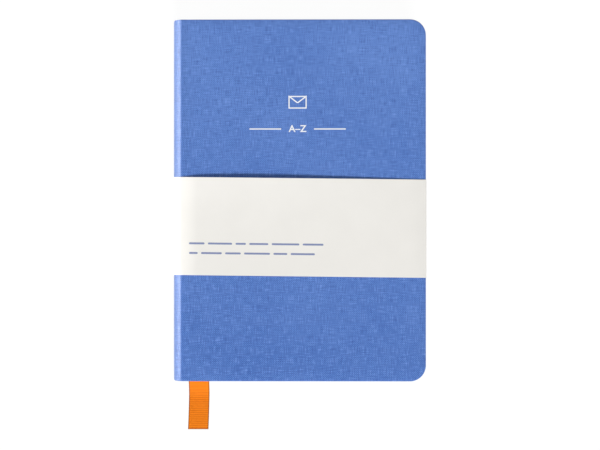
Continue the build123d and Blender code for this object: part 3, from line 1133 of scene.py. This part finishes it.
@dataclass
class LeafBlock:
    """The leaves: thirteen lettered sections with stepped tabs, and the endpapers."""

    book: Book
    paper: Material
    endpaper: Material
    ink: Material
    sheets: int = 4
    sheet_gap: float = 0.03 * MM
    uneven: float = 0.16 * MM
    tab_depth: float = 7.0 * MM
    tab_corner: float = 2.0 * MM
    corner_steps: int = 7
    bend_run: float = 5.0 * MM
    bend_lead: float = 5.0 * MM
    crease_lead: float = 14.0 * MM
    bend_steps: int = 6
    gutter_share: float = 0.6
    flat_angle: float = math.radians(1)
    uneven_phase: Span = (5.1, 2.3)
    letter_size: float = 4.4 * MM
    letter_depth: float = 0.01 * MM

    def round_corner(self, leaf: Piece, x: float, y: float, radius: float) -> None:
        """Round the corner that a flat outline has at a place, in edit mode."""
        Bench.pick(leaf, Kind.POINT, lambda p: abs(p[0].x - x) < NEAR and abs(p[0].y - y) < NEAR)
        Bench.bevel(radius, self.corner_steps, "VERTICES")

    def leaf(
        self, name: str, left: float, level: float, thickness: float, step_y: float | None = None
    ) -> Piece:
        """Model one leaf, cut to bend near the gutter.

        Args:
            name: The piece's name.
            left: Where the leaf begins.
            level: The height of its lower face.
            thickness: Its thickness.
            step_y: Where its tab ends, if its fore-edge is cut back below one.

        Returns:
            The leaf.
        """
        b = self.book
        leaf = Bench.flat(name, (left, -b.leaf_head, level), (b.leaf_fore_edge, b.leaf_head))
        inner_x = b.leaf_fore_edge - self.tab_depth
        tail_x = b.leaf_fore_edge if step_y is None else inner_x
        with Bench.shaping(leaf):
            if step_y is not None:
                Bench.cut(leaf, Axis.X, [inner_x])
                Bench.cut(leaf, Axis.Y, [step_y])
                x, y = inner_x - NEAR, step_y + NEAR
                Bench.pick(leaf, Kind.FACE, lambda p: all(q.x > x and q.y < y for q in p))
                bpy.ops.mesh.delete(type="FACE")
                bpy.ops.mesh.select_all(action="SELECT")
                bpy.ops.mesh.dissolve_limited(angle_limit=self.flat_angle)
                self.round_corner(leaf, inner_x, step_y, self.tab_corner)
                self.round_corner(leaf, b.leaf_fore_edge, step_y, self.tab_corner)
            self.round_corner(leaf, b.leaf_fore_edge, b.leaf_head, b.leaf_corner)
            self.round_corner(leaf, tail_x, -b.leaf_head, b.leaf_corner)
            run = [b.gutter_x + self.bend_run * i / self.bend_steps for i in range(self.bend_steps + 1)]
            Bench.cut(leaf, Axis.X, run)
            bpy.ops.mesh.select_mode(type=Kind.FACE.value)
            bpy.ops.mesh.select_all(action="SELECT")
            Bench.extrude((0, 0, thickness))
            Bench.face_out(leaf)
        return leaf

    def section(self, node: str, index: int, count: int) -> Piece:
        """Model one section as a stack of leaves, pressed together at the gutter and uneven outside.

        Args:
            node: The section's node, which it replaces.
            index: The section's place from the front.
            count: How many sections there are.

        Returns:
            The section.
        """
        b = self.book
        low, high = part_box(node)
        pitch = (high.z - low.z + self.sheet_gap) / self.sheets
        thickness = pitch - self.sheet_gap
        step_y = None
        if index < count - 1:
            step_y = b.leaf_head - (index + 1) * 2 * b.leaf_head / count
        piece = self.leaf(f"leaves_{node[-2:]}", 2 * b.gutter_x - b.leaf_left, low.z, thickness, step_y)
        Bench.apply(
            piece,
            "ARRAY",
            count=self.sheets,
            use_relative_offset=False,
            use_constant_offset=True,
            constant_offset_displace=(0, 0, pitch),
        )
        middle = (low.z + high.z) / 2
        for point in piece.data.vertices:
            sheet = int((point.co.z - low.z + NEAR) / pitch)
            wave = math.sin(self.uneven_phase[0] * index + self.uneven_phase[1] * sheet)
            wander = self.uneven * (1 + wave) / 2
            if point.co.x > b.leaf_fore_edge - 2 * self.tab_depth:
                point.co.x -= wander
            if abs(point.co.y) > b.leaf_head - b.leaf_corner:
                point.co.y -= math.copysign(self.uneven - wander, point.co.y)
            clear = clamp((point.co.x - b.gutter_x) / self.bend_run)
            pinch = self.gutter_share + (1 - self.gutter_share) * clear
            point.co.z = middle + (point.co.z - middle) * pinch
        Bench.lay_uv(piece, lambda p: (p.x - b.leaf_left, p.y))
        piece.data.materials.append(self.paper)
        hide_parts(node)
        self.hinge(piece, node, low.z, self.bend_lead)
        return piece

    def hinge(self, piece: Piece, body: str, level: float, lead: float) -> None:
        """Bake a leaf's place into its mesh."""
        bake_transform(piece)

    def letters(self, node: str, index: int, count: int) -> Piece:
        """Print a section's two letters on its tab.

        Args:
            node: The section's node.
            index: The section's place from the front.
            count: How many sections there are.

        Returns:
            The letters.
        """
        b = self.book
        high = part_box(node)[1]
        pitch = 2 * b.leaf_head / count
        place = (high.x - self.tab_depth / 2 - self.uneven, b.leaf_head - (index + 0.5) * pitch, high.z)
        name = node[-2:]
        piece = Bench.words(f"letters_{name}", name.upper(), place, self.letter_size, self.letter_depth)
        piece.data.materials.append(self.ink)
        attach(piece, node)
        return piece

    def endpapers(self) -> list[Piece]:
        """Model the endpapers: pastedown, fold at the joint and flyleaf, for both covers.

        Returns:
            The pieces.
        """
        b = self.book
        made = []
        paste_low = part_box("front_pastedown")[0]
        fly_low, fly_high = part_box("front_flyleaf")
        sheet = fly_high.z - fly_low.z
        pastedown = self.leaf("front_pastedown_sheet", b.board_x, paste_low.z, sheet)
        flyleaf = self.leaf("front_flyleaf_sheet", b.leaf_left, fly_low.z, sheet)
        fold = Bench.plate(
            "front_endpaper_fold",
            (b.board_x - sheet, -b.leaf_head, fly_low.z),
            (b.board_x, b.leaf_head, paste_low.z + sheet),
        )
        with Bench.shaping(fold):
            Bench.cut(fold, Axis.Z, [fly_high.z, paste_low.z])
        for piece in (pastedown, flyleaf, fold):
            Bench.lay_uv(piece, lambda p: (p.x - b.leaf_left, p.y))
            piece.data.materials.append(self.endpaper)
            twin = Bench.mirrored(piece, piece.name.replace("front", "back"), b.middle)
            made += [(Side.FRONT, piece), (Side.BACK, twin)]
        for side, piece in made:
            cover, leaf = f"{side.value}_cover", f"{side.value}_flyleaf"
            near, far = (fly_high.z, paste_low.z)
            if side is Side.BACK:
                near, far = (2 * b.middle - near, 2 * b.middle - far)
            if "pastedown" in piece.name:
                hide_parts(f"{side.value}_pastedown")
                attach(piece, cover)
            elif "flyleaf" in piece.name:
                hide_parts(leaf)
                self.hinge(piece, leaf, near, self.crease_lead)
            else:
                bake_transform(piece)
        return [piece for _, piece in made]

    def build(self) -> list[Piece]:
        """Model the whole block.

        Returns:
            The pieces.
        """
        nodes = sorted(name for name in frame["nodes"] if name.startswith("section_"))
        pieces = [self.section(node, i, len(nodes)) for i, node in enumerate(nodes)]
        pieces += [self.letters(node, i, len(nodes)) for i, node in enumerate(nodes)]
        return pieces + self.endpapers()


@dataclass
class RibbonMarker:
    """The ribbon: between the middle sections, out at the tail and down to the table."""

    book: Book
    width: float = 12.0 * MM
    thickness: float = 0.22 * MM
    pitch: float = 1.1 * MM
    rib: float = 0.05 * MM
    rows_per_rib: int = 4
    columns: int = 6
    drop_run: float = 16.0 * MM
    offset: float = 1.1 * MM
    short: float = 1.5 * MM
    lean: float = 0.9 * MM
    lean_power: float = 1.5
    floor_gap: float = 0.06 * MM
    fineness: int = 20
    measure_steps: int = 400
    crisp_angle: float = 50.0
    low: Vector = field(default_factory=lambda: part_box("ribbon_marker")[0])
    high: Vector = field(default_factory=lambda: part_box("ribbon_marker")[1])

    def height(self, y: float) -> float:
        """The ribbon's middle height at a place along the spine.

        Args:
            y: The place.

        Returns:
            The height: level in the block, then down to the table, steeply at first.
        """
        top = self.high.z - self.thickness / 2 - self.rib
        floor = self.floor_gap + self.thickness / 2 + self.rib
        gone = clamp((-self.book.leaf_head - y) / self.drop_run)
        return floor + (top - floor) * (1 - gone) ** 3 * (1 + 3 * gone)

    def path(self, steps: int) -> list[Vector]:
        """Evenly spaced points along the ribbon, from its head end.

        Args:
            steps: How many spaces there are.

        Returns:
            The points, as (0, y, z).
        """
        fine = self.fineness * steps
        span = self.high.y - self.low.y - self.short
        line = [self.high.y - span * i / fine for i in range(fine + 1)]
        points = [Vector((0, y, self.height(y))) for y in line]
        far = [0.0]
        for before, after in zip(points, points[1:]):
            far.append(far[-1] + (after - before).length)
        spaced, at = [], 0
        for i in range(steps + 1):
            while at < fine and far[at] < far[-1] * i / steps:
                at += 1
            spaced.append(points[at])
        return spaced

    def build(self) -> Piece:
        """Weave the ribbon flat, then lay it along its path.

        Returns:
            The ribbon.
        """
        coarse = self.path(self.measure_steps)
        length = sum((after - before).length for before, after in zip(coarse, coarse[1:]))
        ribs = round(length / self.pitch)
        rows = ribs * self.rows_per_rib
        path = self.path(rows)
        Bench.clear()
        cells = {"x_subdivisions": self.columns, "y_subdivisions": rows}
        bpy.ops.mesh.primitive_grid_add(**cells, size=1.0, location=(0.5, 0.5, 0))
        ribbon = Bench.settle("ribbon")
        Bench.lay_uv(ribbon, lambda p: (p.x * self.width, p.y * ribs * self.pitch))
        left = self.high.x - self.width + self.offset
        for point in ribbon.data.vertices:
            row = round(point.co.y * rows)
            here = path[row]
            ahead = path[min(row + 1, rows)] - path[max(row - 1, 0)]
            normal = Vector((0, ahead.z, -ahead.y)).normalized()
            ridge = self.rib * abs(math.sin(math.pi * row / self.rows_per_rib))
            tail = clamp((self.book.leaf_head + here.y) / (self.book.leaf_head + self.low.y))
            place = here + normal * ridge
            x = left + point.co.x * self.width - self.lean * tail**self.lean_power
            point.co = (x, place.y, place.z)
        Bench.apply(ribbon, "SOLIDIFY", thickness=self.thickness, offset=0.0)
        Bench.smooth(ribbon, self.crisp_angle)
        ribbon.data.materials.append(RibbonWeave(self.width, ribs * self.pitch, self.pitch).build())
        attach(ribbon, "spine")
        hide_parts("ribbon_marker")
        return ribbon


@dataclass
class Marks:
    """Plain marks: an envelope and an index line on the cover, two lines of dashes on the band."""

    book: Book
    band: WrapBand
    foil: Material
    ink: Material
    depth: float = 0.03 * MM
    line: float = 0.7 * MM
    bar_round: float = 0.45
    bar_steps: int = 4
    side_height: float = 0.9
    flap_heights: Span = (0.6, 0.8)
    centre_x: float = -1.0 * MM
    envelope: Span = (10.6 * MM, 7.4 * MM)
    envelope_y: float = 56.9 * MM
    flap_share: float = 0.55
    title: str = "A\u2013Z"
    title_y: float = 41.4 * MM
    title_size: float = 5.6 * MM
    title_weight: float = 0.1 * MM
    rule_span: Span = (9.5 * MM, 28.0 * MM)
    dash_height: float = 1.1 * MM
    dash_gap: float = 2.0 * MM
    dash_left: float = -64.0 * MM
    dashes: tuple[tuple[float, tuple[float, ...]], ...] = (
        (-25.6 * MM, (9 * MM, 14 * MM, 6 * MM, 11 * MM, 16 * MM, 12 * MM)),
        (-31.2 * MM, (5 * MM, 12 * MM, 9 * MM, 15 * MM, 8 * MM, 14 * MM)),
    )

    def bar(self, face: float, middle: Place, size: Span, turn: float = 0.0, share: float = 1.0) -> Piece:
        """Lay a thin bar with round ends.

        Args:
            face: The height of the face it lies on.
            middle: Its middle.
            size: Its length and width.
            turn: How far it is turned, in radians.
            share: Its share of the marks' depth. Bars that cross differ, so that no faces coincide.

        Returns:
            The bar.
        """
        at, half = Vector((*middle, face)), Vector((size[0] / 2, size[1] / 2, 0))
        bar = Bench.plate("bar", at - half, at + half + Vector((0, 0, share * self.depth)))
        with Bench.shaping(bar):
            Bench.pick(bar, Kind.EDGE, lambda p: not is_level(p))
            Bench.bevel(min(size) * self.bar_round, self.bar_steps)
            if turn:
                bpy.ops.mesh.select_all(action="SELECT")
                bpy.ops.transform.rotate(value=turn, orient_axis="Z", center_override=at)
        return bar

    def stamp(self) -> Piece:
        """Stamp the envelope and the index line on the cover.

        Returns:
            The joined marks.
        """
        wide, tall = self.envelope
        x, y = self.centre_x, self.envelope_y
        fold = tall * self.flap_share
        level = self.book.front_face
        place = (x, self.title_y, level)
        bars = [Bench.words("title", self.title, place, self.title_size, self.depth, self.title_weight)]
        for end, flap_height in zip((-1, 1), self.flap_heights):
            near, far = self.rule_span
            rule = (x + end * (near + far) / 2, self.title_y)
            bars.append(self.bar(level, rule, (far - near, self.line)))
            bars.append(self.bar(level, (x, y + end * (tall - self.line) / 2), (wide, self.line)))
            side = (x + end * (wide - self.line) / 2, y)
            bars.append(self.bar(level, side, (self.line, tall - self.line), share=self.side_height))
            slope = (math.hypot(fold, wide / 2), self.line)
            middle = (x + end * wide / 4, y + (tall - fold) / 2)
            turn = -end * math.atan2(fold, wide / 2)
            bars.append(self.bar(level, middle, slope, turn, flap_height))
        return self.dress(Bench.join(bars, "cover_stamp"), self.foil, "front_cover")

    def print_band(self) -> Piece:
        """Print two lines of dashes on the band.

        Returns:
            The joined dashes.
        """
        bars = []
        level = self.band.high.z
        for y, lengths in self.dashes:
            x = self.dash_left
            for length in lengths:
                bars.append(self.bar(level, (x + length / 2, y), (length, self.dash_height)))
                x += length + self.dash_gap
        printed = Bench.join(bars, "band_dashes")
        for point in printed.data.vertices:
            point.co.z += self.band.lift(point.co.x, point.co.y)
            point.co.y -= self.band.skew * point.co.x
        return self.dress(printed, self.ink, "wrap_front")

    @staticmethod
    def dress(piece: Piece, finish: Material, body: str) -> Piece:
        """Give a mark its finish and let it ride on a body.

        Args:
            piece: The mark.
            finish: Its material.
            body: The body it is printed on.

        Returns:
            The mark.
        """
        piece.data.materials.append(finish)
        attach(piece, body)
        return piece


@dataclass(frozen=True)
class Lamp:
    """A soft rectangular lamp that faces the book: its place, its width and height, and its watts."""

    name: str
    place: tuple[float, float, float]
    size: Span
    power: float

    def build(self) -> None:
        """Hang the lamp."""
        data = bpy.data.lights.new(self.name, "AREA")
        data.shape = "RECTANGLE"
        data.size, data.size_y = self.size
        data.energy = self.power
        lamp = bpy.data.objects.new(self.name, data)
        lamp.location = self.place
        lamp.rotation_euler = (-Vector(self.place)).to_track_quat("-Z", "Y").to_euler()
        bpy.context.scene.collection.objects.link(lamp)


@dataclass
class Studio:
    """Floor, lamps and camera."""

    book: Book
    lamps: tuple[Lamp, ...] = (
        Lamp("tail_lamp", (1.1, -4.2, 3.9), (3.6, 1.4), 331.0),
        Lamp("spine_lamp", (-1.5, 0.0, 0.2), (1.2, 0.4), 22.0),
        Lamp("head_lamp", (0.5, 0.8, 0.9), (1.0, 0.8), 2.0),
    )
    view_width: float = 0.348
    aim: Span = (0.4 * MM, -14.3 * MM)
    distance: float = 1.2
    tilt: float = math.radians(0.8)
    sensor: float = 36.0
    floor_size: float = 6.0
    floor_drop: float = 0.05 * MM
    floor_grey: Colour = (0.82, 0.82, 0.82)
    floor_roughness: float = 0.9
    seen_grey: Colour = (0.1, 0.1, 0.1)
    seen_glow: float = 0.95
    world_light: float = 0.1

    def floor(self) -> None:
        """A pale floor that is white to the camera and keeps the book's shadow."""
        half = self.floor_size / 2
        floor = Bench.flat("floor", (-half, -half, -self.floor_drop), (half, half))
        r = Recipe(bpy.data.materials.new("studio_floor"))
        r.coat((*self.floor_grey, 1.0), self.floor_roughness, 0.0)
        glow = r.node("Emission", {"Color": WHITE, "Strength": self.seen_glow})
        dull = r.node("BsdfDiffuse", {"Color": (*self.seen_grey, 1.0)})
        white = r.node("AddShader", {0: glow.outputs[0], 1: dull.outputs[0]})
        pick = r.node("MixShader", {0: r.seen(), 1: r.shader.outputs[0], 2: white.outputs[0]})
        r.put(r.tree.nodes["Material Output"].inputs["Surface"], pick.outputs[0])
        floor.data.materials.append(r.owner)

    def world(self) -> None:
        """Even white light from all round, and white behind the book."""
        world = bpy.data.worlds.new("studio")
        bpy.context.scene.world = world
        r = Recipe(world)
        back = r.tree.nodes["Background"]
        back.inputs["Color"].default_value = WHITE
        light = r.node("MapRange", {"Value": r.seen(), "To Min": self.world_light, "To Max": 1.0})
        r.put(back.inputs["Strength"], light.outputs["Result"])

    def camera(self) -> None:
        """A camera nearly straight above, a little to the fore-edge, with the head of the book up."""
        data = bpy.data.cameras.new("camera")
        data.sensor_width = self.sensor
        data.lens = self.sensor * self.distance / self.view_width
        camera = bpy.data.objects.new("camera", data)
        target = Vector((*self.aim, self.book.front_face))
        camera.location = target + self.distance * Vector((math.sin(self.tilt), 0, math.cos(self.tilt)))
        camera.rotation_euler = (0, self.tilt, 0)
        bpy.context.scene.collection.objects.link(camera)
        bpy.context.scene.camera = camera

    def build(self) -> None:
        """Set the scene up."""
        bpy.context.scene.view_settings.view_transform = "Standard"
        self.floor()
        self.world()
        for lamp in self.lamps:
            lamp.build()
        self.camera()


WRAP_PAPER = Paper("wrap_paper", (0.945, 0.925, 0.88), (0.925, 0.905, 0.86), (0.76, 0.72, 0.64))
LEAF_PAPER = Paper(
    "leaf_paper", (0.86, 0.83, 0.76), (0.83, 0.80, 0.73), (0.75, 0.71, 0.62), rule_pitch=8.0 * MM
)
ENDPAPER = Paper("endpaper", (0.84, 0.81, 0.74), (0.80, 0.77, 0.70), (0.70, 0.66, 0.58))
WHITE_FOIL = InnerStuff("white_foil", (0.96, 0.975, 1.0), (0.90, 0.93, 0.98), size=0.5 * MM)
SLATE_INK = InnerStuff("slate_ink", (0.24, 0.29, 0.48), (0.30, 0.35, 0.54), size=0.4 * MM)
INNER_FINISHES = {
    "board": InnerStuff("grey_board", (0.36, 0.33, 0.28), (0.24, 0.22, 0.19)),
    "lining_gauze": InnerStuff("lining_gauze", (0.62, 0.60, 0.54), (0.80, 0.78, 0.72), Grain.NET, 0.9 * MM),
    "leaf_paper": InnerStuff("folded_paper", (0.86, 0.83, 0.76), (0.80, 0.77, 0.70), size=0.9 * MM),
    "sewing_thread": InnerStuff("sewing_thread", (0.85, 0.83, 0.78), (0.70, 0.68, 0.62), size=0.2 * MM),
    "head_band": InnerStuff("woven_band", (0.86, 0.85, 0.81), (0.16, 0.26, 0.58), Grain.STRIPED, 0.9 * MM),
}


def log_pieces(pieces: Iterable[Piece]) -> None:
    """Log each new piece by name."""
    for piece in pieces:
        LOG.info("modelled %s", piece.name)


def dress_inner_nodes() -> None:
    """Give every node that still shows its own finish."""
    finishes = {slot: stuff.build() for slot, stuff in INNER_FINISHES.items()}
    for row in frame["record"]["subparts"]:
        node = frame["nodes"][row["node"]]
        if node.hide_render:
            continue
        node.data.materials.clear()
        node.data.materials.append(finishes[row["material_slot"]])
        LOG.info("dressed %s", row["node"])


def main() -> None:
    """Build the book piece by piece and set up its studio."""
    logging.basicConfig(level=logging.INFO, format="%(name)s: %(message)s")
    book = Book.read()
    case = CaseCloth(book, Linen().build())
    band = WrapBand(book, WRAP_PAPER.build())
    for part in (case, band):
        halves = part.build()
        part.dress(halves)
        log_pieces(halves.values())
    ink = SLATE_INK.build()
    log_pieces(LeafBlock(book, LEAF_PAPER.build(), ENDPAPER.build(), ink).build())
    log_pieces([RibbonMarker(book).build()])
    marks = Marks(book, band, WHITE_FOIL.build(), ink)
    log_pieces([marks.stamp(), marks.print_band()])
    dress_inner_nodes()
    Studio(book).build()


if __name__ == "__main__":
    main()
